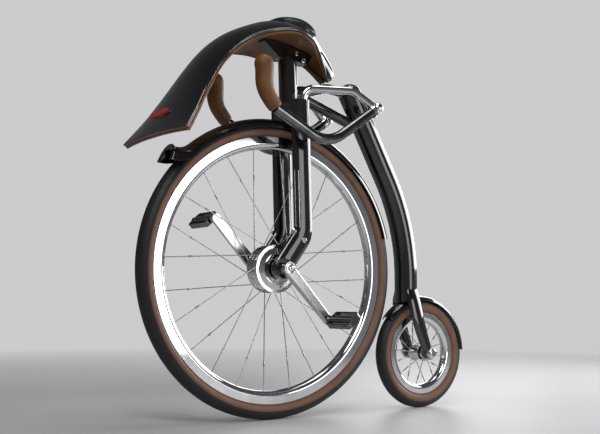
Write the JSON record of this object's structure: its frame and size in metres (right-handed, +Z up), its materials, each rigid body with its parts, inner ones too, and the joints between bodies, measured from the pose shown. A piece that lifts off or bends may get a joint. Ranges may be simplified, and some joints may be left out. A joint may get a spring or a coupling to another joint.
{
  "type": "high-wheel bicycle",
  "caption": "Penny-farthing style bicycle: big pedalled front wheel in a steered fork, curved backbone to a small rear wheel, arched saddle with a long front tongue and looped handlebars.",
  "frame": {"origin": "the rider's point, on top of the seat pad, in the middle plane", "axes": "+X forward, the way the big wheel leads; +Y to the rider's left; +Z up"},
  "size_m": [1.0151, 0.362, 1.0152],
  "materials": {
    "gloss_black": "gloss black lacquer",
    "chrome": "polished chrome",
    "dark_chrome": "dark polished chrome",
    "tan_leather": "smooth tan leather",
    "black_leather": "smooth black leather",
    "tyre": "black tread, tan side walls",
    "red_lens": "clear red"
  },
  "bodies": {
    "frame": {"head_tube": "gloss_black", "upper_arm": "gloss_black", "lower_arm": "gloss_black", "backbone": "gloss_black", "rear_fork_left": "gloss_black", "rear_fork_right": "gloss_black", "rear_mudguard": "gloss_black", "rear_axle": "chrome", "rear_nut_left": "chrome", "rear_nut_right": "chrome", "saddle_shell": "gloss_black", "saddle_lining": "tan_leather", "seat_pad": "black_leather", "saddle_beam": "gloss_black", "red_lens": "red_lens"},
    "steering": {"fork_crown": "gloss_black", "fork_leg_left": "gloss_black", "fork_leg_right": "gloss_black", "front_mudguard": "gloss_black", "stay_left": "chrome", "stay_right": "chrome", "bar_left": "dark_chrome", "bar_right": "dark_chrome", "bar_knob_left": "chrome", "bar_knob_right": "chrome", "grip_left": "tan_leather", "grip_right": "tan_leather"},
    "front_wheel": {"front_tyre": "tyre", "front_rim": "chrome", "front_spokes": "chrome", "front_hub": "chrome", "front_axle": "chrome", "crank_left": "chrome", "crank_right": "chrome"},
    "rear_wheel": {"rear_tyre": "tyre", "rear_rim": "chrome", "rear_spokes": "chrome", "rear_hub": "chrome"},
    "left_pedal": {"pedal_left": "dark_chrome"},
    "right_pedal": {"pedal_right": "dark_chrome"}
  },
  "joints": [
    {"name": "steer", "type": "hinge", "parent": "frame", "child": "steering", "pos_m": [-0.005, 0, -0.2747], "axis": [0.0401, 0, 0.9992], "range_deg": [-15, 15]},
    {"name": "front_wheel_spin", "type": "hinge", "parent": "steering", "child": "front_wheel", "pos_m": [0.045, 0, -0.6447], "axis": [0, 1, 0], "continuous": true},
    {"name": "rear_wheel_spin", "type": "hinge", "parent": "frame", "child": "rear_wheel", "pos_m": [-0.44347, 0, -0.8661], "axis": [0, 1, 0], "continuous": true},
    {"name": "left_pedal_spin", "type": "hinge", "parent": "front_wheel", "child": "left_pedal", "pos_m": [-0.07656, 0.13455, -0.77058], "axis": [0, 1, 0], "continuous": true},
    {"name": "right_pedal_spin", "type": "hinge", "parent": "front_wheel", "child": "right_pedal", "pos_m": [0.16656, -0.13455, -0.51882], "axis": [0, 1, 0], "continuous": true}
  ]
}
